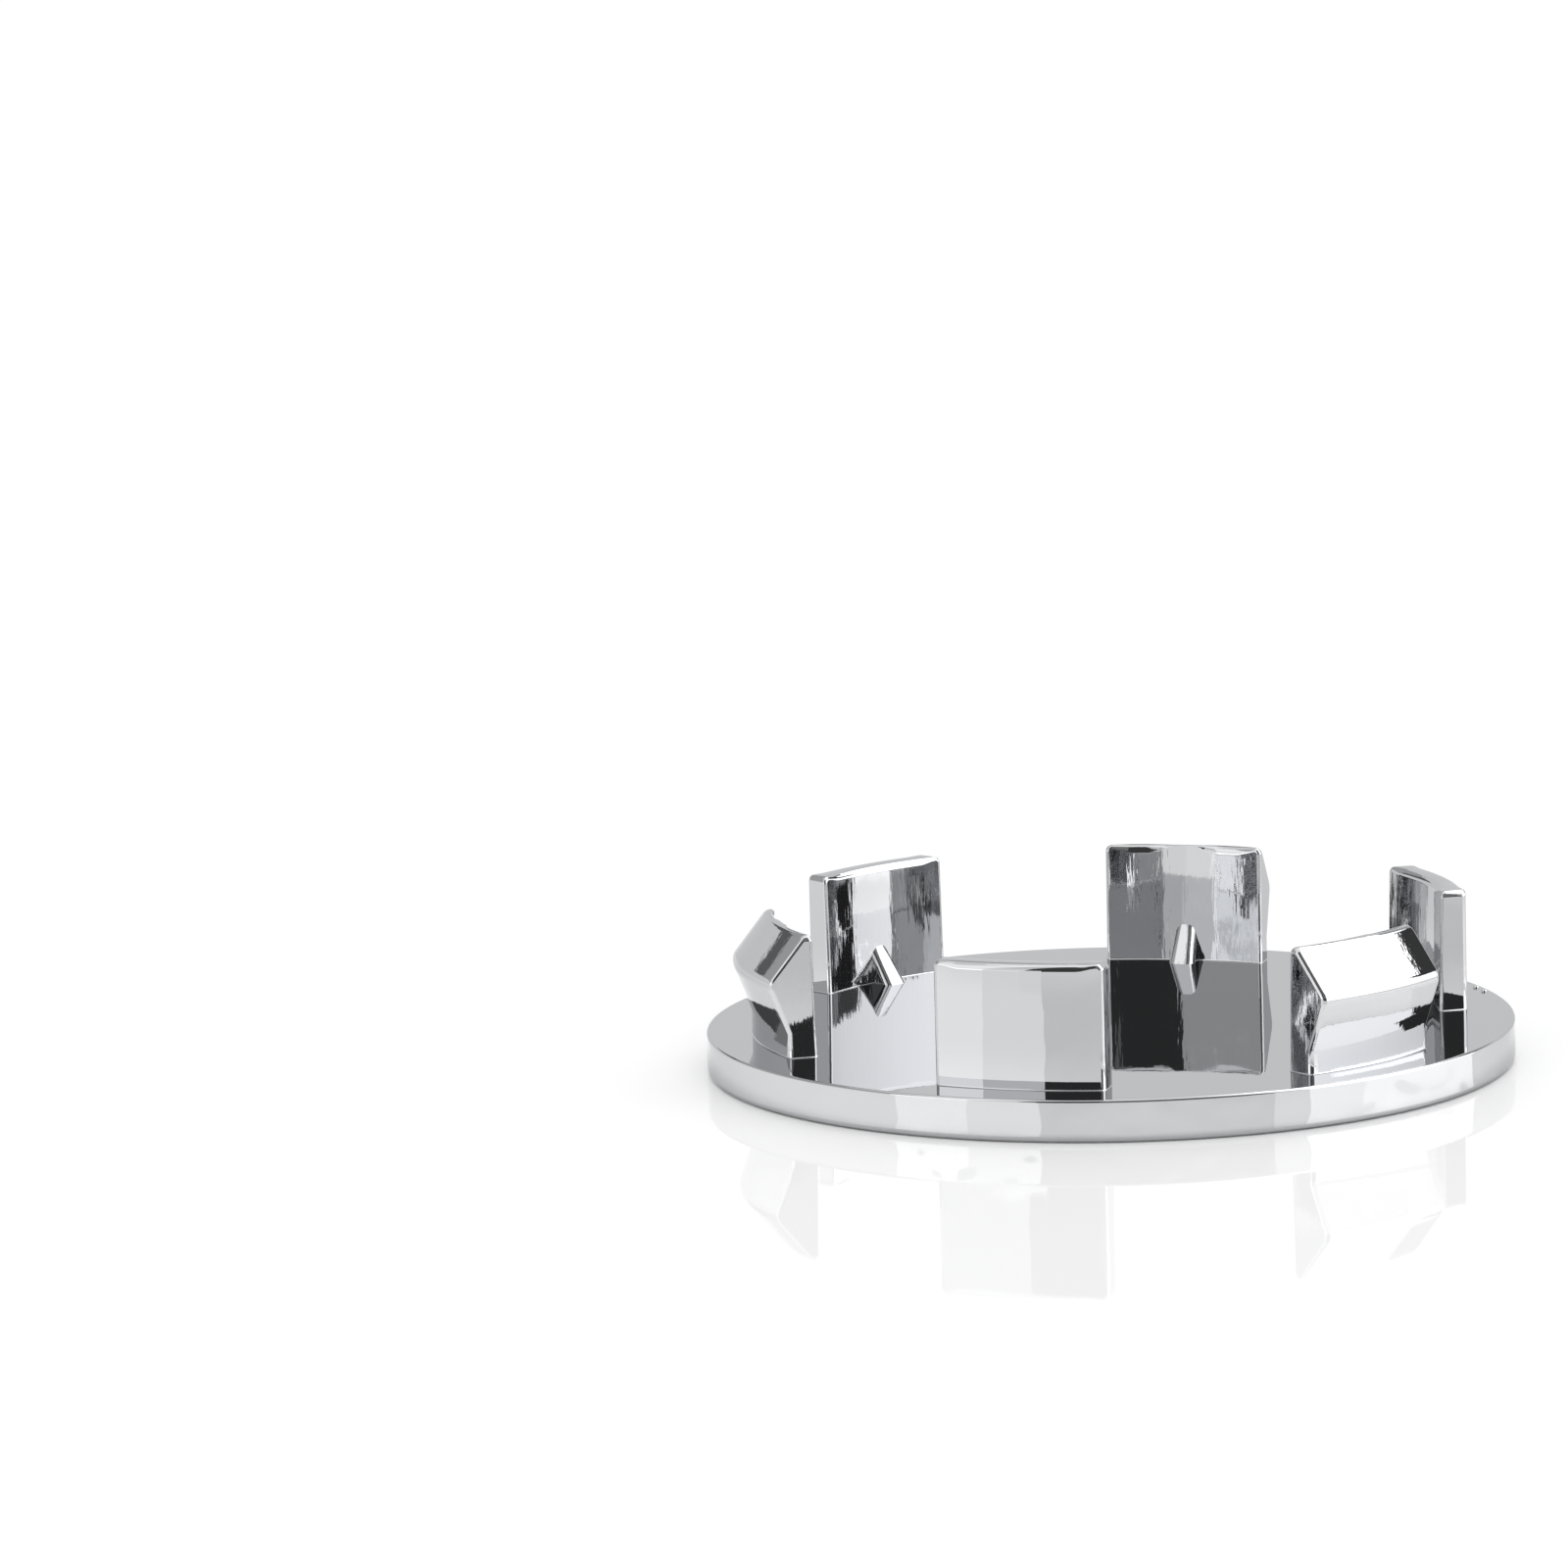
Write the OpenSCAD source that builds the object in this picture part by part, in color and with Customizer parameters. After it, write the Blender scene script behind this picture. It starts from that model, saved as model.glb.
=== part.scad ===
// Snap-in wheel centre cap, moulded in one piece and plated all over.
// It lies on its face: the axis is Z, the lip of the face stands on z = 0,
// and the ring of clips points up.

/* [Face disc] */
// Outer diameter of the disc
cap_d = 60; // [58:0.5:70]
// Thickness of the disc, from its lip to its flat back
disc_t = 3.1; // [2.2:0.1:5]
// Rounding of the lip round the face
lip_r = 0.5; // [0.2:0.05:0.9]
// Rounding of the edge at the back
back_edge_r = 0.2; // [0.1:0.05:0.6]

/* [Recess in the face] */
// Width of the border round the flat floor, bevel and lip together
border_w = 3.3; // [1.6:0.1:8]
// Depth of the floor behind the lip
floor_depth = 0.85; // [0.4:0.05:1.3]

/* [Ring of clips] */
// Pairs of clips round the ring, each one plain clip and one barbed clip
clip_pairs = 3; // [2:1:4]
// Width of the seat on the back of the disc, outside the clips
seat_w = 3.4; // [2.6:0.1:6]
// Thickness of a clip wall
clip_wall = 2.1; // [1.6:0.1:2.8]
// Width of a clip between its two flat ends
clip_w = 12.4; // [9:0.2:14]
// Height of a clip above the back of the disc
clip_h = 9; // [8:0.1:12]
// Rounding of the upper corners of a clip, seen from outside
corner_r = 0.5; // [0.2:0.05:1.5]
// Rounding of the upright edges of a clip, and of its tip where it is barbed
edge_r = 0.3; // [0.1:0.05:0.4]
// Rounding of the top of a plain clip
top_r = 0.55; // [0.2:0.05:0.7]

/* [Barbs] */
// Reach of a ridge past the outer wall of the clip, before it is rounded
barb_reach = 1.45; // [0.6:0.05:2.2]
// Height of the ridge above the back of the disc
ridge_h = 5.55; // [4:0.05:6.5]
// Height of the straight foot, where the barb starts to swell
foot_h = 1.75; // [0.6:0.05:3]
// Thickness of the wall that is left at the tip
tip_wall = 0.8; // [0.5:0.05:1.3]
// Rounding of the ridge
ridge_r = 1; // [0.2:0.1:1.4]

/* [Gussets] */
// Height of a gusset above the back of the disc
gusset_h = 2.7; // [1.5:0.1:5]
// Reach of a gusset from the clip wall towards the axis
gusset_l = 1.95; // [1:0.05:4]
// Thickness of a gusset at its foot
gusset_foot_t = 1.7; // [1:0.1:3]
// Thickness of a gusset at its top
gusset_top_t = 1.4; // [0.8:0.1:1.7]
// Rounding of the two long edges of a gusset
gusset_r = 0.3; // [0.1:0.05:0.35]

/* [Gate mark] */
// Angle of the gate mark on the edge of the back, from the first plain clip
gate_angle = 1.75; // [0:0.25:360]
// Distance between the two nubs that the cut gate left
gate_gap = 1.7; // [1:0.1:4]
// Width of a nub
nub_d = 0.6; // [0.3:0.1:1]
// Height of a nub above the back of the disc
nub_h = 0.3; // [0.1:0.05:0.5]

/* [Hidden] */
$fn = 180;
arc_steps = 5;
cap_r = cap_d / 2;
floor_r = cap_r - border_w;
ring_r = cap_r - seat_w;
inner_r = ring_r - clip_wall;
barb_r = ring_r + barb_reach;
half_w = clip_w / 2;
top_z = disc_t + clip_h;
// The clips are fused with the disc down to the middle of its thickness
root_z = disc_t / 2;
clip_count = 2 * clip_pairs;
clip_step = 360 / clip_count;
// The thin tip can't hold a rounding wider than half its wall
tip_edge_r = min(edge_r, 0.45 * tip_wall);
// Room that a cutting outline takes past the solid it trims
spare = 2;
// Height of the thin plans between which a gusset tapers
slice = 0.02;
plating = [0.56, 0.57, 0.58];

function unit(v) = v / norm(v);

// Points of the rounding at corner b, between its neighbours a and c
function fillet(a, b, c, r) =
    let (
        u = unit(a - b),
        v = unit(c - b),
        half = acos(u * v) / 2,
        centre = b + unit(u + v) * r / sin(half),
        from = b + u * r / tan(half) - centre,
        to = b + v * r / tan(half) - centre
    )
    [for (i = [0:arc_steps]) centre + r * unit(from * (arc_steps - i) + to * i)];

// Outline with rounded corners, from points given as [x, y, radius]
function rounded(points) =
    let (n = len(points), xy = [for (p = points) [p[0], p[1]]])
    [for (i = [0:n - 1])
        each points[i][2] > 0
            ? fillet(xy[(i + n - 1) % n], xy[i], xy[(i + 1) % n], points[i][2])
            : [xy[i]]];

// Half section of the disc: recess floor, sloping bevel, rounded lip, side, back
module disc() {
    lip_centre = [cap_r - lip_r, lip_r];
    floor_edge = [floor_r, floor_depth];
    reach = lip_centre - floor_edge;
    bevel_angle = atan2(reach[1], reach[0]) - asin(lip_r / norm(reach));
    lip = [for (i = [0:2 * arc_steps])
        let (a = -90 + bevel_angle + (90 - bevel_angle) * i / (2 * arc_steps))
        lip_centre + lip_r * [cos(a), sin(a)]];
    back_edge = fillet([cap_r, 0], [cap_r, disc_t], [0, disc_t], back_edge_r);
    rotate_extrude()
        polygon(concat([[0, floor_depth], floor_edge], lip, back_edge, [[0, disc_t]]));
}

// Section of a plain clip: an upright wall with a rounded top
function plain_section() = rounded([
    [inner_r, root_z, 0],
    [ring_r, root_z, 0],
    [ring_r, top_z, top_r],
    [inner_r, top_z, top_r]
]);

// Section of a barbed clip: upright foot, swelling to the ridge, then a long
// lead-in that thins the wall up to its tip
function barbed_section() = rounded([
    [inner_r, root_z, 0],
    [ring_r, root_z, 0],
    [ring_r, disc_t + foot_h, 0],
    [barb_r, disc_t + ridge_h, ridge_r],
    [inner_r + tip_wall, top_z, tip_edge_r],
    [inner_r, top_z, tip_edge_r]
]);

// Plan of a clip whose outer wall has radius outer_r: flat parallel ends, and
// rounded upright edges that run into the curved walls
module clip_plan(outer_r) {
    end_outer = sqrt(outer_r * outer_r - half_w * half_w);
    end_inner = sqrt(inner_r * inner_r - half_w * half_w);
    near_end = half_w - 3 * edge_r;
    near_inner = sqrt(inner_r * inner_r - near_end * near_end);
    polygon(rounded([
        [near_inner, -near_end, 0],
        [end_inner, -half_w, edge_r],
        [end_outer, -half_w, edge_r],
        [outer_r * outer_r / end_outer, 0, 0],
        [end_outer, half_w, edge_r],
        [end_inner, half_w, edge_r],
        [near_inner, near_end, 0]
    ]));
}

// Front of a clip, seen from outside: the two upper corners are rounded
module clip_front() {
    polygon(rounded([
        [-half_w, root_z - spare, 0],
        [half_w, root_z - spare, 0],
        [half_w, top_z, corner_r],
        [-half_w, top_z, corner_r]
    ]));
}

// One clip: its section turned about the axis, trimmed to its plan and its front
module clip(section, outer_r) {
    intersection() {
        rotate_extrude()
            polygon(section);
        translate([0, 0, root_z - spare])
            linear_extrude(clip_h + disc_t + spare)
                clip_plan(outer_r);
        rotate([90, 0, 90])
            linear_extrude(outer_r + spare)
                clip_front();
    }
}

// Plan of a gusset at one height: how far it stands out from the clip wall, and
// how thick it is there
module gusset_plan(reach, thick) {
    polygon(rounded([
        [inner_r + clip_wall / 2, -thick / 2, 0],
        [inner_r + clip_wall / 2, thick / 2, 0],
        [inner_r - reach, thick / 2, gusset_r],
        [inner_r - reach, -thick / 2, gusset_r]
    ]));
}

// Gusset at the foot of a clip, on its inner side: it tapers from its plan on the
// back of the disc to a thinner one, flush with the wall, at its top
module gusset() {
    hull() {
        translate([0, 0, disc_t])
            linear_extrude(slice)
                gusset_plan(gusset_l, gusset_foot_t);
        translate([0, 0, disc_t + gusset_h - slice])
            linear_extrude(slice)
                gusset_plan(0, gusset_top_t);
    }
    translate([0, 0, root_z])
        linear_extrude(disc_t - root_z + slice)
            gusset_plan(gusset_l, gusset_foot_t);
}

// Two small nubs on the edge of the back, where the gate was cut off
module gate_mark() {
    nub_r = cap_r - 2 * back_edge_r - nub_d / 2;
    for (side = [-1, 1])
        rotate(gate_angle + side * asin(gate_gap / (2 * nub_r)))
            translate([nub_r, 0, root_z])
                cylinder(h = disc_t - root_z + nub_h, d = nub_d, $fn = 24);
}

module centre_cap() {
    color(plating) {
        disc();
        for (i = [0:clip_count - 1])
            rotate(i * clip_step) {
                if (i % 2 == 0)
                    clip(plain_section(), ring_r);
                else
                    clip(barbed_section(), barb_r);
                gusset();
            }
        gate_mark();
    }
}

centre_cap();
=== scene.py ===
import math

import bmesh
import bpy
from mathutils import Matrix, Vector


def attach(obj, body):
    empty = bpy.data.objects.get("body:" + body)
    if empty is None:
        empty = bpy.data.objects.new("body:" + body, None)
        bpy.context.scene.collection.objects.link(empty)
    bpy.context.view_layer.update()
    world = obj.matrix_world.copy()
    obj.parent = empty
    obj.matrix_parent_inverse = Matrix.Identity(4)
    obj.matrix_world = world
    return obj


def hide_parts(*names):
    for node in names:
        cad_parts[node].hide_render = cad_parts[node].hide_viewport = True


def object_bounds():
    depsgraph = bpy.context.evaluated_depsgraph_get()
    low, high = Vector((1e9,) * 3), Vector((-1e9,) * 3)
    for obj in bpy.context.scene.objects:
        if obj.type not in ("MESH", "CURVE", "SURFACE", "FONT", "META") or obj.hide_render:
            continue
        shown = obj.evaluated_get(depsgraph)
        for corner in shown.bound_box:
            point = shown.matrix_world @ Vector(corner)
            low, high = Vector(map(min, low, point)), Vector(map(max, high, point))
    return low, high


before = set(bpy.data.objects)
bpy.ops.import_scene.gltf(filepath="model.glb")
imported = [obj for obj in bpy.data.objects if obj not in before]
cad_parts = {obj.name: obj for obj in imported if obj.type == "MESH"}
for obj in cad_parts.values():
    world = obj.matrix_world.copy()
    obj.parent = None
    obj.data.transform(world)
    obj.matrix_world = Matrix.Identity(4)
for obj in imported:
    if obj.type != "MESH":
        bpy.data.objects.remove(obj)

cad_low, cad_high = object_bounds()

# The camera
# A long lens, a little above the rim, as the photograph was taken. The cap lies
# to the right of the view and low in it, and the camera is tipped by a degree or two.
MM = 0.001
CAP_TURN = math.radians(12.8)
CAMERA_PLACE = Vector((-23.7, -472.7, 94.4)) * MM
CAMERA_PITCH = math.radians(8.77)
CAMERA_ROLL = math.radians(-1.66)
SENSOR = 36.0
LENS = 148.5
NEAREST = 0.01
FARTHEST = 20.0

camera = bpy.data.objects.new("camera", bpy.data.cameras.new("camera"))
camera.data.sensor_width = SENSOR
camera.data.lens = LENS
camera.data.clip_start = NEAREST
camera.data.clip_end = FARTHEST
camera.matrix_world = (
    Matrix.Rotation(-CAP_TURN, 4, "Z")
    @ Matrix.Translation(CAMERA_PLACE)
    @ Matrix.Rotation(math.pi / 2 - CAMERA_PITCH, 4, "X")
    @ Matrix.Rotation(CAMERA_ROLL, 4, "Z")
)
bpy.context.scene.collection.objects.link(camera)
bpy.context.scene.camera = camera
bpy.context.scene.view_settings.view_transform = "Standard"

# The disc
# The round face plate of the moulding: a flat recess floor, a sloping bevel, a
# rounded lip, a straight side and a flat back. It is turned from its half section.
CAP_R = cad_high.x
TOP = cad_high.z
DISC_T = 3.1 * MM
LIP_R = 0.5 * MM
BACK_EDGE_R = 0.2 * MM
BORDER_W = 3.3 * MM
FLOOR_DEPTH = 0.85 * MM
FLOOR_EDGE_R = 0.6 * MM
FLOOR_EDGE_STEPS = 4
LIP_STEPS = 12
BACK_EDGE_STEPS = 5
RIM_STEPS = 288
MERGE = 0.001 * MM


def arc(centre, radius, start, end, steps):
    """Points of an arc in the (radius, height) plane, angles in radians."""
    angles = [start + (end - start) * step / steps for step in range(steps + 1)]
    return [centre + radius * Vector((math.cos(a), math.sin(a))) for a in angles]


def disc_section():
    """The disc's section from the edge of the recess floor round to the edge of the back."""
    lip = Vector((CAP_R - LIP_R, LIP_R))
    floor_edge = Vector((CAP_R - BORDER_W, FLOOR_DEPTH))
    back = Vector((CAP_R - BACK_EDGE_R, DISC_T - BACK_EDGE_R))
    reach = lip - floor_edge
    slope = math.atan2(reach.y, reach.x) - math.asin(LIP_R / reach.length)
    crease = floor_edge + FLOOR_EDGE_R * Vector((math.tan(slope / 2), -1))
    return (
        arc(crease, FLOOR_EDGE_R, math.pi / 2, math.pi / 2 + slope, FLOOR_EDGE_STEPS)
        + arc(lip, LIP_R, slope - math.pi / 2, 0, LIP_STEPS)
        + arc(back, BACK_EDGE_R, 0, math.pi / 2, BACK_EDGE_STEPS)
    )


def link_piece(name, bm):
    """An object whose smooth mesh is taken from a bmesh."""
    for face in bm.faces:
        face.smooth = True
    mesh = bpy.data.meshes.new(name)
    bm.to_mesh(mesh)
    bm.free()
    piece = bpy.data.objects.new(name, mesh)
    bpy.context.scene.collection.objects.link(piece)
    return piece


def turned_disc():
    """The disc, turned from its section, with its floor and its back filled in."""
    bm = bmesh.new()
    verts = [bm.verts.new((point.x, 0, point.y)) for point in disc_section()]
    edges = [bm.edges.new(pair) for pair in zip(verts, verts[1:])]
    bmesh.ops.spin(
        bm, geom=verts + edges, cent=(0, 0, 0), axis=(0, 0, 1),
        angle=2 * math.pi, steps=RIM_STEPS, use_merge=True,
    )
    bmesh.ops.remove_doubles(bm, verts=bm.verts, dist=MERGE)
    open_edges = [edge for edge in bm.edges if edge.is_boundary]
    for side in (True, False):
        ring = [e for e in open_edges if (e.verts[0].co.z < DISC_T / 2) == side]
        bmesh.ops.contextual_create(bm, geom=ring)
    bmesh.ops.recalc_face_normals(bm, faces=bm.faces)
    return bm


moulding = link_piece("plated_moulding", turned_disc())

# The ring of clips
# Six stiff clips stand on the back, plain and barbed by turns. The barbed ones
# swell to a ridge that snaps behind the lip of the hub bore. The inner walls have
# the draft of the mould, and each clip meets the disc in a very small fillet.
SEAT_W = 3.4 * MM
CLIP_WALL = 2.1 * MM
CLIP_W = 12.4 * MM
CORNER_R = 0.5 * MM
CORNER_STEPS = 6
EDGE_R = 0.3 * MM
EDGE_STEPS = 5
ROUNDED = 1.01 * EDGE_R
TOP_R = 0.55 * MM
TOP_RUN = 1.4 * MM
TIP_MIDDLE = 1.3 * MM
TIP_DROP = 1.3
TIP_REACH = 0.5
TIP_NARROWING = 0.5
BARB_REACH = 1.45 * MM
RIDGE_H = 5.55 * MM
FOOT_H = 1.75 * MM
TIP_WALL = 0.8 * MM
RIDGE_R = 1.0 * MM
RIDGE_STEPS = 12
GUSSET_H = 2.7 * MM
ABOVE_GUSSET_H = 1.1 * GUSSET_H
ROOT_R = 0.1 * MM
ROOT_STEPS = 4
UNDER = 0.02 * MM
RING_R = CAP_R - SEAT_W
INNER_R = RING_R - CLIP_WALL
BARB_R = RING_R + BARB_REACH
ROOT_Z = DISC_T / 2
DRAFT = math.radians(1.2)
INNER_TOP_R = INNER_R + (TOP - DISC_T) * math.tan(DRAFT)
INNER_ROOT_R = INNER_R - (DISC_T - ROOT_Z) * math.tan(DRAFT)
CLIP_COUNT = 6
BEND_STEPS = 32
CRISP = math.radians(30)
CLOSE = 0.01 * MM

PLAIN_SECTION = [
    (INNER_ROOT_R, ROOT_Z), (RING_R, ROOT_Z), (RING_R, TOP), (INNER_TOP_R, TOP),
]
BARBED_SECTION = [
    (INNER_ROOT_R, ROOT_Z), (RING_R, ROOT_Z), (RING_R, DISC_T + FOOT_H),
    (BARB_R, DISC_T + RIDGE_H), (INNER_R + TIP_WALL, TOP), (INNER_TOP_R, TOP),
]


def round_edges(bm, edges, width, segments):
    """Rounds the given edges, as the mould's own radius does."""
    bmesh.ops.bevel(
        bm, geom=edges, offset=width, offset_type="OFFSET", affect="EDGES",
        segments=segments, profile=0.5, material=-1, clamp_overlap=True,
    )


def crisp_edges(bm, low_z):
    """Edges above a height whose two faces meet at a clear angle."""
    return [
        edge for edge in bm.edges
        if len(edge.link_faces) == 2
        and edge.calc_face_angle() > CRISP
        and max(vert.co.z for vert in edge.verts) > low_z + CLOSE
    ]


def drawn_block(section, width):
    """A section in the XZ plane, drawn along Y to a block of the given width."""
    bm = bmesh.new()
    face = bm.faces.new([bm.verts.new((x, -width / 2, z)) for x, z in section])
    drawn = bmesh.ops.extrude_face_region(bm, geom=[face])
    moved = [part for part in drawn["geom"] if isinstance(part, bmesh.types.BMVert)]
    bmesh.ops.translate(bm, verts=moved, vec=(0, width, 0))
    bmesh.ops.recalc_face_normals(bm, faces=bm.faces)
    return bm


def cut_across(bm, height):
    """Adds a row of edges to a block at the given height."""
    bmesh.ops.bisect_plane(
        bm, geom=bm.verts[:] + bm.edges[:] + bm.faces[:],
        plane_co=(0, 0, height), plane_no=(0, 0, 1),
    )


def flare_root(bm):
    """Spreads the foot of a block into a small fillet where it meets the disc."""
    for step in range(ROOT_STEPS + 1):
        turn = math.pi / 2 / ROOT_STEPS * step
        cut_across(bm, DISC_T - UNDER + ROOT_R * (1 - math.cos(turn)))
    bm.normal_update()
    shifts = []
    for vert in bm.verts:
        left = min(ROOT_R, DISC_T + ROOT_R - vert.co.z)
        if left > 0:
            outward = Vector((vert.normal.x, vert.normal.y, 0)).normalized()
            shifts.append((vert, outward * (ROOT_R - math.sqrt(ROOT_R ** 2 - left ** 2))))
    for vert, shift in shifts:
        vert.co += shift


def widen_top(bm):
    """Widens the rounding along the top of a plain clip, up to its corners."""
    for vert in bm.verts:
        sides = (vert.co.x - INNER_TOP_R, RING_R - vert.co.x)
        side = min(sides)
        drop = TOP - vert.co.z
        left = (CLIP_W / 2 - CORNER_R - abs(vert.co.y)) / TOP_RUN
        if max(side, drop) < ROUNDED and left > 0:
            share = min(left, 1.0)
            growth = (TOP_R / EDGE_R - 1) * share * share * (3 - 2 * share)
            vert.co.z -= growth * drop
            vert.co.x += growth * side * (1 if side == sides[0] else -1)


def widen_tip_corners(bm):
    """Widens the inner rounding of a barbed tip beside its middle, and narrows the middle."""
    for vert in bm.verts:
        side = vert.co.x - INNER_TOP_R
        drop = TOP - vert.co.z
        along = abs(vert.co.y)
        if max(side, drop) < ROUNDED:
            rise = min(max((along - TIP_MIDDLE) / TOP_RUN, 0.0), 1.0)
            left = min(max((CLIP_W / 2 - CORNER_R - along) / TOP_RUN, 0.0), 1.0)
            growth = rise * left if along > TIP_MIDDLE else -TIP_NARROWING
            vert.co.z -= TIP_DROP * growth * drop
            vert.co.x += TIP_REACH * growth * side


def clip_block(section):
    """One clip on the X axis, rounded and bent to the radius of the ring."""
    bm = drawn_block(section, CLIP_W)
    ridge = [
        edge for edge in bm.edges
        if all(abs(vert.co.x - BARB_R) < CLOSE for vert in edge.verts)
    ]
    if ridge:
        turn = ridge[0].calc_face_angle()
        round_edges(bm, ridge, RIDGE_R * math.tan(turn / 2), RIDGE_STEPS)
    corners = [
        edge for edge in bm.edges
        if all(abs(vert.co.z - TOP) < CLOSE for vert in edge.verts)
        and abs(edge.verts[0].co.y - edge.verts[1].co.y) < CLOSE
    ]
    round_edges(bm, corners, CORNER_R, CORNER_STEPS)
    round_edges(bm, crisp_edges(bm, ROOT_Z), EDGE_R, EDGE_STEPS)
    flare_root(bm)
    cut_across(bm, DISC_T + ABOVE_GUSSET_H)
    long_edges = [
        edge for edge in bm.edges
        if abs(edge.verts[0].co.y - edge.verts[1].co.y) > CLIP_W / 2
    ]
    bmesh.ops.subdivide_edges(bm, edges=long_edges, cuts=BEND_STEPS - 1)
    if ridge:
        widen_tip_corners(bm)
    else:
        widen_top(bm)
    for vert in bm.verts:
        vert.co.x = math.sqrt(vert.co.x ** 2 - vert.co.y ** 2)
    return bm


def place_round(bm, number):
    """Turns a block to its place in the ring."""
    turn = Matrix.Rotation(2 * math.pi * number / CLIP_COUNT, 3, "Z")
    bmesh.ops.rotate(bm, verts=bm.verts, cent=(0, 0, 0), matrix=turn)
    return bm


clips = []
for number in range(CLIP_COUNT):
    section = BARBED_SECTION if number % 2 else PLAIN_SECTION
    clips.append(link_piece(f"clip_{number}", place_round(clip_block(section), number)))

# The gussets
# A small drafted triangle braces each clip at its foot, on the side of the axis. Its
# two long edges are well rounded.
GUSSET_L = 1.95 * MM
GUSSET_FOOT_T = 2.05 * MM
GUSSET_TOP_T = 1.65 * MM
GUSSET_R = 0.6 * MM
GUSSET_SINK = 0.35 * MM
GUSSET_STEPS = 7


def gusset_block():
    """One gusset on the X axis; its slope runs on a little way into the clip wall.

    It is drawn one metre wide, and each point is then brought to its true width.
    """
    sunk = INNER_R + GUSSET_SINK
    rise = GUSSET_H * (GUSSET_L + GUSSET_SINK) / GUSSET_L
    bm = drawn_block([
        (INNER_R - GUSSET_L, ROOT_Z), (sunk, ROOT_Z), (sunk, DISC_T + rise),
        (INNER_R - GUSSET_L, DISC_T),
    ], 1.0)
    for vert in bm.verts:
        share = (vert.co.z - DISC_T) / GUSSET_H
        vert.co.y *= GUSSET_FOOT_T + (GUSSET_TOP_T - GUSSET_FOOT_T) * share
    free = [
        edge for edge in crisp_edges(bm, ROOT_Z)
        if min(vert.co.x for vert in edge.verts) < INNER_R - GUSSET_L + CLOSE
        and edge.verts[0].co.y * edge.verts[1].co.y > 0
    ]
    round_edges(bm, free, GUSSET_R, GUSSET_STEPS)
    return bm


gussets = []
for number in range(CLIP_COUNT):
    gussets.append(link_piece(f"gusset_{number}", place_round(gusset_block(), number)))

# The gate mark
# Two small nubs that the cut gate left on the edge of the back.
GATE_ANGLE = math.radians(1.75)
GATE_GAP = 1.7 * MM
NUB_R = 0.26 * MM
NUB_TOP_R = 0.8 * NUB_R
NUB_H = 0.16 * MM
NUB_SIDES = 16
NUB_STEPS = 3
NUB_PLACE_R = CAP_R - 2 * BACK_EDGE_R - NUB_R


def nub_block(side):
    """One nub, a low stub with a rounded top."""
    bm = bmesh.new()
    height = DISC_T - ROOT_Z + NUB_H
    bmesh.ops.create_cone(
        bm, cap_ends=True, segments=NUB_SIDES,
        radius1=NUB_R, radius2=NUB_TOP_R, depth=height,
    )
    rim = [e for e in bm.edges if all(v.co.z > 0 for v in e.verts)]
    round_edges(bm, rim, NUB_H / 2, NUB_STEPS)
    bmesh.ops.translate(bm, verts=bm.verts, vec=(NUB_PLACE_R, 0, ROOT_Z + height / 2))
    angle = GATE_ANGLE + side * math.asin(GATE_GAP / 2 / NUB_PLACE_R)
    bmesh.ops.rotate(
        bm, verts=bm.verts, cent=(0, 0, 0), matrix=Matrix.Rotation(angle, 3, "Z"),
    )
    return bm


nubs = [link_piece(f"nub_{side}", nub_block(side)) for side in (-1, 1)]

# The moulding
# Disc, clips, gussets and gate nubs leave the mould as one skin. Large faces keep
# their own true normal, and only the roundings between them shade smoothly.
CREASE = math.radians(28)
SLIVER = 0.002 * MM


def fuse(base, others):
    """Joins closed solids into one skin and removes the parts."""
    for other in others:
        modifier = base.modifiers.new("fuse", "BOOLEAN")
        modifier.operation = "UNION"
        modifier.solver = "EXACT"
        modifier.object = other
    graph = bpy.context.evaluated_depsgraph_get()
    skin = bpy.data.meshes.new_from_object(base.evaluated_get(graph))
    base.modifiers.clear()
    base.data = skin
    for other in others:
        bpy.data.objects.remove(other)


def finish_skin(piece):
    """Merges doubles, splits the shading at true creases and weights the normals."""
    bm = bmesh.new()
    bm.from_mesh(piece.data)
    bmesh.ops.remove_doubles(bm, verts=bm.verts, dist=SLIVER)
    bmesh.ops.dissolve_degenerate(bm, edges=bm.edges, dist=SLIVER)
    bmesh.ops.recalc_face_normals(bm, faces=bm.faces)
    for face in bm.faces:
        face.smooth = True
    for edge in bm.edges:
        edge.smooth = not (edge.is_manifold and edge.calc_face_angle() > CREASE)
    bm.to_mesh(piece.data)
    bm.free()
    weighted = piece.modifiers.new("normals", "WEIGHTED_NORMAL")
    weighted.mode = "FACE_AREA"
    weighted.weight = 100
    weighted.keep_sharp = True


fuse(moulding, clips + gussets + nubs)
finish_skin(moulding)

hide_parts("centre_cap")
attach(moulding, "root")

# The plating
# Bright chrome over the whole skin, which shows how the mould was finished. The disc and
# the outer walls of the plain clips were polished. The inner walls and the ends keep
# fine marks along the way the mould opens, and the slides left the barbs rougher.
CHROME = (0.545, 0.55, 0.56, 1)
CHROME_EDGE = (0.74, 0.745, 0.755, 1)
BRIGHTEST_FINISH = 0.012
HAZE_RANGE = 0.05

# Each mark: width of its grain, how far it is drawn out upwards, detail, slope
WAVES = (5 * MM, 5, 1, 0.02)
STREAKS = (0.5 * MM, 7, 2, 0.018)
SPECKS = (0.16 * MM, 3, 2, 0.012)
DENTS = (3.5 * MM, 1, 1, 0.02)
HAZE = (0.3 * MM, 10, 2)

# Shares of waves, streaks, specks and dents on each kind of surface
POLISHED_BACK = (0.05, 0.04, 0.04, 0.03)
RIM = (0.5, 0.04, 0.04, 1.0)
PLAIN_WALL = (0.2, 0.12, 0.12, 0.25)
INNER_WALL = (1.0, 1.0, 0.4, 0.3)
BARB = (0.8, 0.8, 1.0, 0.1)


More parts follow.
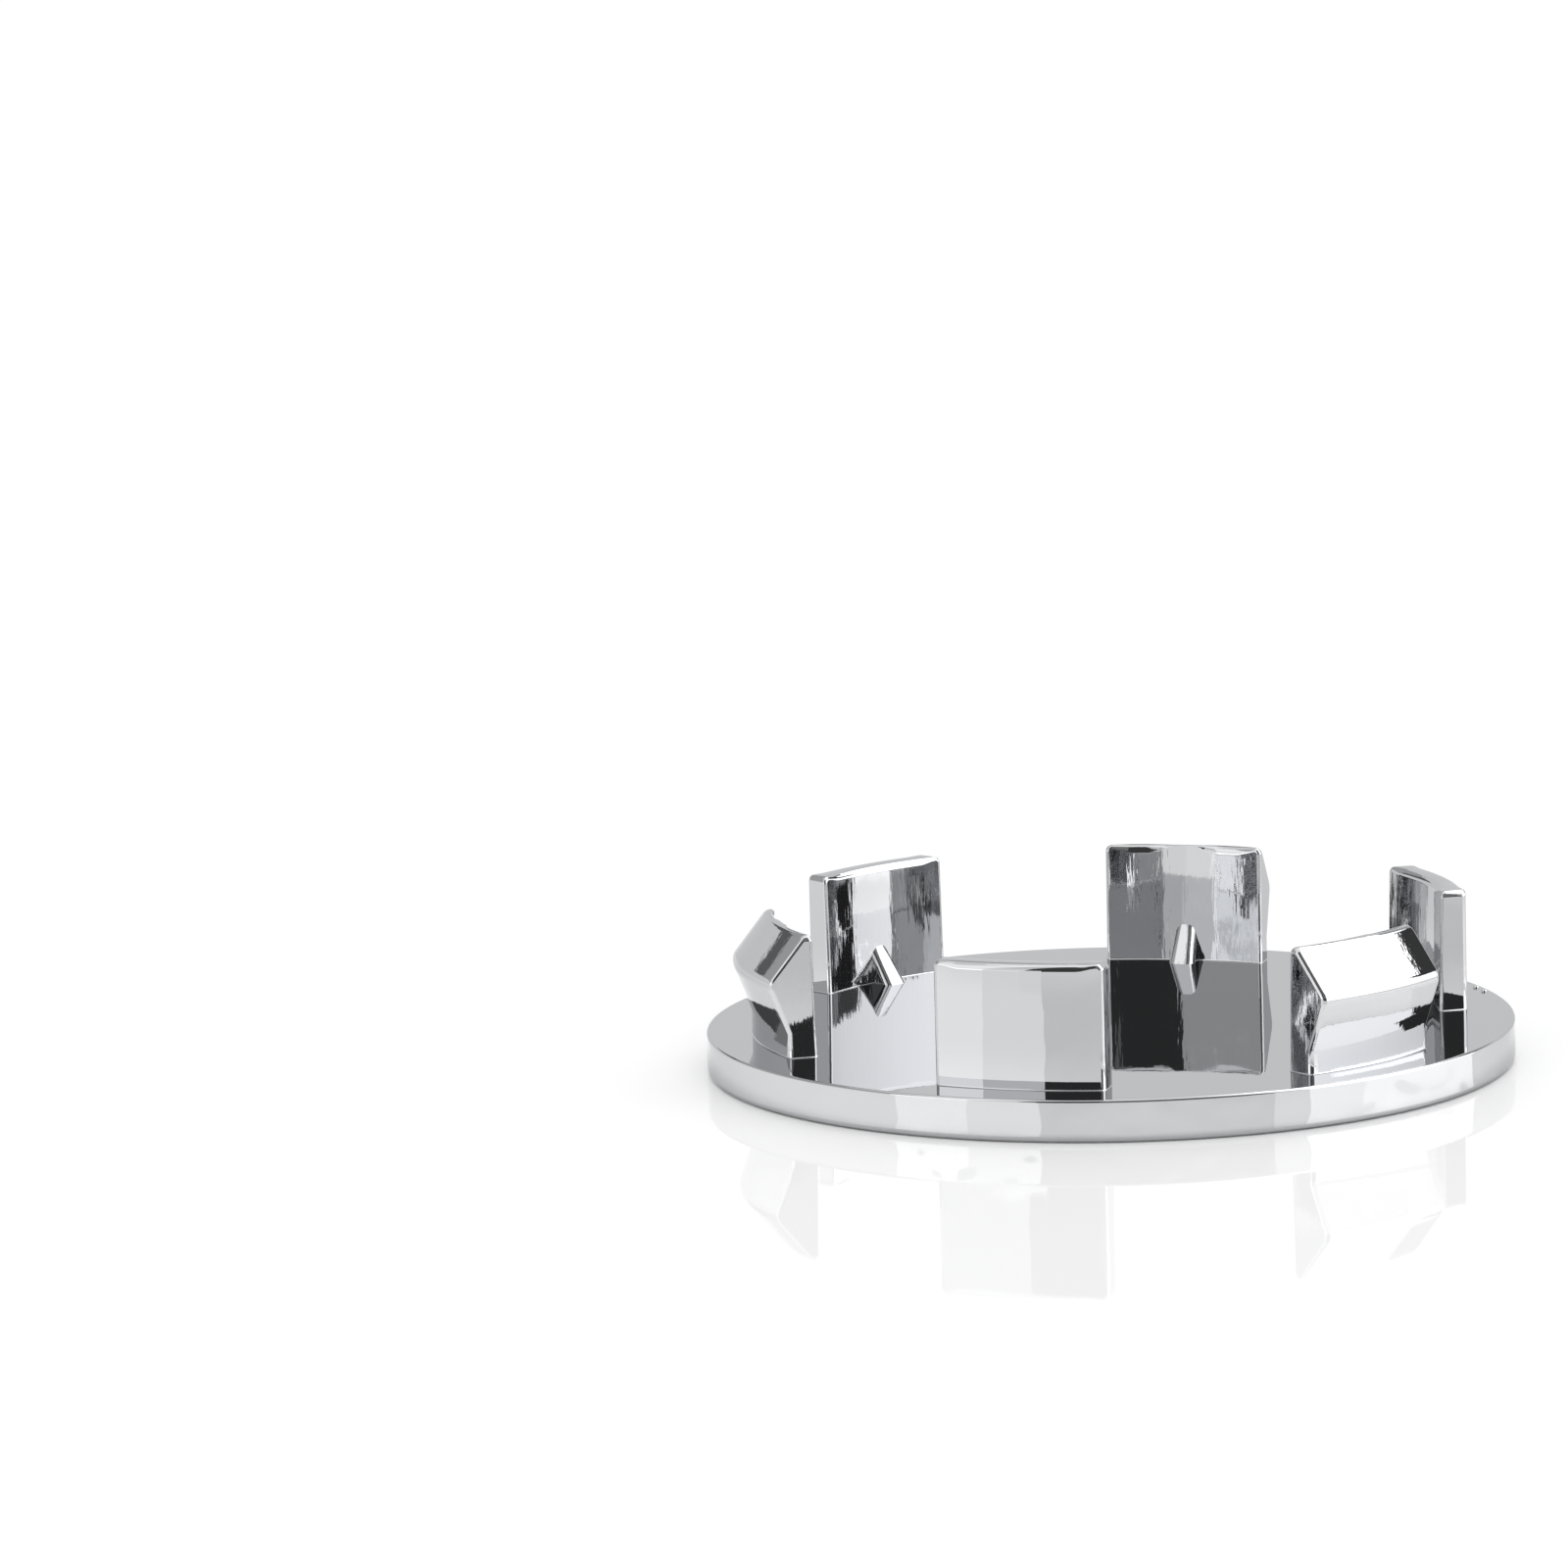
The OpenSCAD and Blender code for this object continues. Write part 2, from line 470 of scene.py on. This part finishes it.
def finish_at(centre):
    """The shares of the four marks at a point of the skin."""
    if centre.z < DISC_T - BACK_EDGE_R and centre.xy.length > CAP_R - LIP_R:
        return RIM
    if centre.z < DISC_T + ROOT_R / 2:
        return POLISHED_BACK
    if centre.xy.length < RING_R - EDGE_R:
        return INNER_WALL
    number = round(math.atan2(centre.y, centre.x) / (2 * math.pi) * CLIP_COUNT)
    return BARB if number % 2 else PLAIN_WALL


def grain(tree, width, upright, detail):
    """Noise with grains of a given width, drawn out upwards by the given factor."""
    place = tree.nodes.new("ShaderNodeTexCoord")
    mapping = tree.nodes.new("ShaderNodeMapping")
    mapping.inputs["Scale"].default_value = (1 / width, 1 / width, 1 / width / upright)
    noise = tree.nodes.new("ShaderNodeTexNoise")
    noise.inputs["Scale"].default_value = 1.0
    noise.inputs["Detail"].default_value = detail
    tree.links.new(place.outputs["Object"], mapping.inputs["Vector"])
    tree.links.new(mapping.outputs[0], noise.inputs["Vector"])
    return noise.outputs["Fac"]


def math_node(tree, operation, *values):
    """A Math node whose inputs are sockets or plain numbers."""
    node = tree.nodes.new("ShaderNodeMath")
    node.operation = operation
    for socket, value in zip(node.inputs, values):
        if isinstance(value, bpy.types.NodeSocket):
            tree.links.new(value, socket)
        else:
            socket.default_value = value
    return node.outputs[0]


def relief(tree, width, upright, detail, slope):
    """Height in metres of a grain whose flanks have about the given slope."""
    return math_node(tree, "MULTIPLY", grain(tree, width, upright, detail), width * slope)


def chrome_plating():
    """Chrome whose relief and haze follow the finish of the mould."""
    material = bpy.data.materials.new("chrome_plating")
    material.use_nodes = True
    tree = material.node_tree
    shader = tree.nodes["Principled BSDF"]
    shader.inputs["Base Color"].default_value = CHROME
    shader.inputs["Specular Tint"].default_value = CHROME_EDGE
    shader.inputs["Metallic"].default_value = 1.0
    marked = tree.nodes.new("ShaderNodeAttribute")
    marked.attribute_name = "mould_finish"
    shares = tree.nodes.new("ShaderNodeSeparateXYZ")
    tree.links.new(marked.outputs["Color"], shares.inputs[0])
    height = math_node(tree, "MULTIPLY", relief(tree, *DENTS), marked.outputs["Alpha"])
    for mark, axis in ((WAVES, "X"), (STREAKS, "Y"), (SPECKS, "Z")):
        layer = math_node(tree, "MULTIPLY", relief(tree, *mark), shares.outputs[axis])
        height = math_node(tree, "ADD", height, layer)
    bump = tree.nodes.new("ShaderNodeBump")
    bump.inputs["Distance"].default_value = 1.0
    tree.links.new(height, bump.inputs["Height"])
    tree.links.new(bump.outputs[0], shader.inputs["Normal"])
    haze = math_node(tree, "MULTIPLY", grain(tree, *HAZE), shares.outputs["Y"])
    roughness = math_node(tree, "MULTIPLY_ADD", haze, HAZE_RANGE, BRIGHTEST_FINISH)
    tree.links.new(roughness, shader.inputs["Roughness"])
    return material


finish = moulding.data.attributes.new("mould_finish", "FLOAT_COLOR", "FACE")
for face in moulding.data.polygons:
    finish.data[face.index].color = finish_at(face.center)
moulding.data.materials.clear()
moulding.data.materials.append(chrome_plating())

# The studio
# The white surroundings light the cap evenly. Large softboxes stand to the right and
# overhead, paler cards to the left, black cards beside the camera, and grey ones over
# the backdrop. Only polished surfaces show the cards, and the cards light nothing.
STUDIO_R = 480 * MM
CARD_ROWS = 12
CARD_COLUMNS = 24
SOFTBOX = 2.8
SOFTBOX_LOW = 2.6
SOFTBOX_MIDDLE = 2.2
SOFTBOX_END = 2.0
BRIGHT_STRIP = 3.5
OVERHEAD = 1.4
BRIGHT_CARD = 2.2
WHITE_CARD = 1.4
LEFT_CARD = 1.45
PALE_CARD = 1.35
SHADED_CARD = 1.1
LEFT_SHADED_CARD = 0.85
GREY_CARD = 0.77
BACKDROP_CARD = 0.55
SIDE_CARD = 0.25
DEEP_GREY_CARD = 0.18
DARK_CARD = 0.065


def card_material():
    """One material for all cards: each glows as its own attribute says."""
    material = bpy.data.materials.new("card_glow")
    material.use_nodes = True
    material.cycles.emission_sampling = "NONE"
    tree = material.node_tree
    tree.nodes.clear()
    strength = tree.nodes.new("ShaderNodeAttribute")
    strength.attribute_name = "glow"
    glow = tree.nodes.new("ShaderNodeEmission")
    out = tree.nodes.new("ShaderNodeOutputMaterial")
    tree.links.new(strength.outputs["Fac"], glow.inputs["Strength"])
    tree.links.new(glow.outputs[0], out.inputs[0])
    return material


card_glow = card_material()


def card(name, around, rise, strength, far_strength=None):
    """A bent card about the cap, between two angles around it and two angles of rise.

    Angles around are counted as on the photograph: 90 is straight behind, 270 is the
    camera. With a far strength the glow changes evenly from the first end to the other.
    """
    bm = bmesh.new()
    first = math.radians(around[0]) - CAP_TURN
    verts = []
    for step in range(CARD_ROWS + 1):
        up = math.radians(rise[0] + (rise[1] - rise[0]) * step / CARD_ROWS)
        flat = STUDIO_R * math.cos(up)
        place = (flat * math.cos(first), flat * math.sin(first), STUDIO_R * math.sin(up))
        verts.append(bm.verts.new(place))
    edges = [bm.edges.new(pair) for pair in zip(verts, verts[1:])]
    bmesh.ops.spin(
        bm, geom=verts + edges, cent=(0, 0, 0), axis=(0, 0, 1),
        angle=math.radians(around[1] - around[0]), steps=CARD_COLUMNS,
    )
    piece = link_piece(name, bm)
    glow = piece.data.attributes.new("glow", "FLOAT", "POINT")
    change = 0 if far_strength is None else far_strength - strength
    for vert in piece.data.vertices:
        turn = math.degrees(math.atan2(vert.co.y, vert.co.x) + CAP_TURN) - around[0]
        # The first edge may measure a hair under nought, which isn't a full circle
        share = ((turn + 1) % 360 - 1) / (around[1] - around[0])
        glow.data[vert.index].value = strength + change * share
    piece.data.materials.append(card_glow)
    piece.visible_camera = False
    piece.visible_diffuse = False
    piece.visible_shadow = False


card("right_softbox", (-38, 72), (40, 70), SOFTBOX)
card("right_upper_card", (-38, 40), (30, 40), SOFTBOX)
card("right_white_card", (-38, 17), (24, 30), SOFTBOX)
card("right_card", (-38, 17), (11.6, 24), SOFTBOX, SOFTBOX_MIDDLE)
card("right_end_card", (17, 27), (11.6, 21), SOFTBOX_MIDDLE, SOFTBOX_END)
card("right_low_card", (-38, -20), (-1, 11.6), SOFTBOX, SOFTBOX_LOW)
card("bright_strip", (-20, 27), (9.3, 11.6), BRIGHT_STRIP)
card("shaded_strip", (-20, 27), (6.2, 9.3), SOFTBOX_LOW, SOFTBOX_END)
card("low_bright_strip", (-20, 27), (4.4, 6.2), BRIGHT_STRIP)
card("lowest_card", (-20, 27), (-1, 4.4), SOFTBOX_LOW, SOFTBOX_END)
card("overhead_softbox", (0, 360), (70, 88), OVERHEAD)
card("left_card", (204, 228), (16.3, 70), LEFT_CARD)
card("left_pale_card", (228, 241.5), (16.3, 34), SHADED_CARD)
card("left_shaded_card", (228, 241.5), (34, 70), LEFT_SHADED_CARD)
card("bright_card", (205, 228), (-1, 12.5), BRIGHT_CARD)
card("white_card", (228, 247), (8.5, 12.5), WHITE_CARD)
card("pale_card", (228, 240), (-1, 8.5), PALE_CARD)
card("shaded_card", (240, 247), (-1, 8.5), SHADED_CARD)
card("grey_card", (205, 241.5), (12.5, 16.3), GREY_CARD)
card("dark_card_by_the_camera", (241.5, 264), (12.5, 70), DARK_CARD)
card("side_card", (264, 312), (12.5, 70), SIDE_CARD)
card("low_dark_card", (247, 312), (-1, 12.5), DARK_CARD)
card("dark_band_on_the_right", (17, 27), (21, 30), DARK_CARD)
card("dark_card_on_the_right", (27, 50), (18, 30), DARK_CARD)
card("grey_card_on_the_right", (40, 60), (30, 40), BACKDROP_CARD)
card("dark_card_over_the_backdrop", (108, 132), (16, 24), DEEP_GREY_CARD)
card("grey_card_over_the_backdrop", (89.5, 132), (24, 50), BACKDROP_CARD)
card("grey_card_on_the_left", (132, 204), (14, 50), BACKDROP_CARD)

# The sheet and the surroundings
# The cap lies on a glossy white sheet that runs on into white surroundings. The gloss
# fades out away from the cap. Polished surfaces see the sheet with painted light: a glow,
# brightest near the cap.
FLOOR_SIZE = 3.0
FLOOR_WHITE = 1.0
FLOOR_ROUGHNESS = 0.6
FLOOR_GLOSS = 0.55
GLOSS_ROUGHNESS = 0.03
GLOSS_R = 75 * MM
FADE_R = 105 * MM
# Painted light on the sheet, seen only by polished surfaces: a glow in a ring round the cap,
# strongest near it, standing in for light falling on the sheet
PAINTED_LIGHT_R = 34 * MM
FAR_PAINTED_LIGHT_R = 62 * MM
SHEET_PAINTED_LIGHT = 0.36
FAR_SHEET_PAINTED_LIGHT = 0.12
CAMERA_GLOW = 0.05


def by_distance(tree, inner, outer, inner_value, outer_value):
    """A value that changes with the distance from the cap's axis, between two radii."""
    place = tree.nodes.new("ShaderNodeTexCoord")
    distance = tree.nodes.new("ShaderNodeVectorMath")
    distance.operation = "LENGTH"
    change = tree.nodes.new("ShaderNodeMapRange")
    change.interpolation_type = "SMOOTHSTEP"
    values = (inner, outer, inner_value, outer_value)
    for name, value in zip(("From Min", "From Max", "To Min", "To Max"), values):
        change.inputs[name].default_value = value
    tree.links.new(place.outputs["Object"], distance.inputs[0])
    tree.links.new(distance.outputs["Value"], change.inputs["Value"])
    return change.outputs["Result"]


def glossy_sheet():
    """White card stock, matt below a clear gloss, with painted light that only polished
    surfaces see.
    """
    material = bpy.data.materials.new("glossy_white_sheet")
    material.use_nodes = True
    material.cycles.emission_sampling = "NONE"
    tree = material.node_tree
    surface = tree.nodes["Principled BSDF"]
    surface.inputs["Base Color"].default_value = (FLOOR_WHITE, FLOOR_WHITE, FLOOR_WHITE, 1)
    surface.inputs["Roughness"].default_value = FLOOR_ROUGHNESS
    surface.inputs["Specular IOR Level"].default_value = 0.0
    surface.inputs["Coat Roughness"].default_value = GLOSS_ROUGHNESS
    surface.inputs["Emission Color"].default_value = (1, 1, 1, 1)
    gloss = by_distance(tree, GLOSS_R, FADE_R, FLOOR_GLOSS, 0)
    tree.links.new(gloss, surface.inputs["Coat Weight"])
    seen_by = tree.nodes.new("ShaderNodeLightPath")
    # Painted light: the sheet glows only for rays from polished surfaces, none under the cap,
    # most just beyond its rim
    near_painted_light = by_distance(tree, CAP_R, PAINTED_LIGHT_R, 0, 1)
    far_painted_light = by_distance(tree, PAINTED_LIGHT_R, FAR_PAINTED_LIGHT_R, SHEET_PAINTED_LIGHT, FAR_SHEET_PAINTED_LIGHT)
    glow = math_node(tree, "MULTIPLY", near_painted_light, far_painted_light)
    painted_light_in_chrome = math_node(tree, "MULTIPLY", seen_by.outputs["Is Glossy Ray"], glow)
    in_view = math_node(tree, "MULTIPLY", seen_by.outputs["Is Camera Ray"], CAMERA_GLOW)
    strength = math_node(tree, "ADD", painted_light_in_chrome, in_view)
    tree.links.new(strength, surface.inputs["Emission Strength"])
    return material


floor_mesh = bmesh.new()
bmesh.ops.create_grid(floor_mesh, x_segments=1, y_segments=1, size=FLOOR_SIZE)
floor = link_piece("floor", floor_mesh)
floor.data.materials.append(glossy_sheet())

world = bpy.data.worlds.new("studio")
bpy.context.scene.world = world
world.use_nodes = True
background = world.node_tree.nodes["Background"]
background.inputs["Color"].default_value = (1, 1, 1, 1)
background.inputs["Strength"].default_value = 1.0
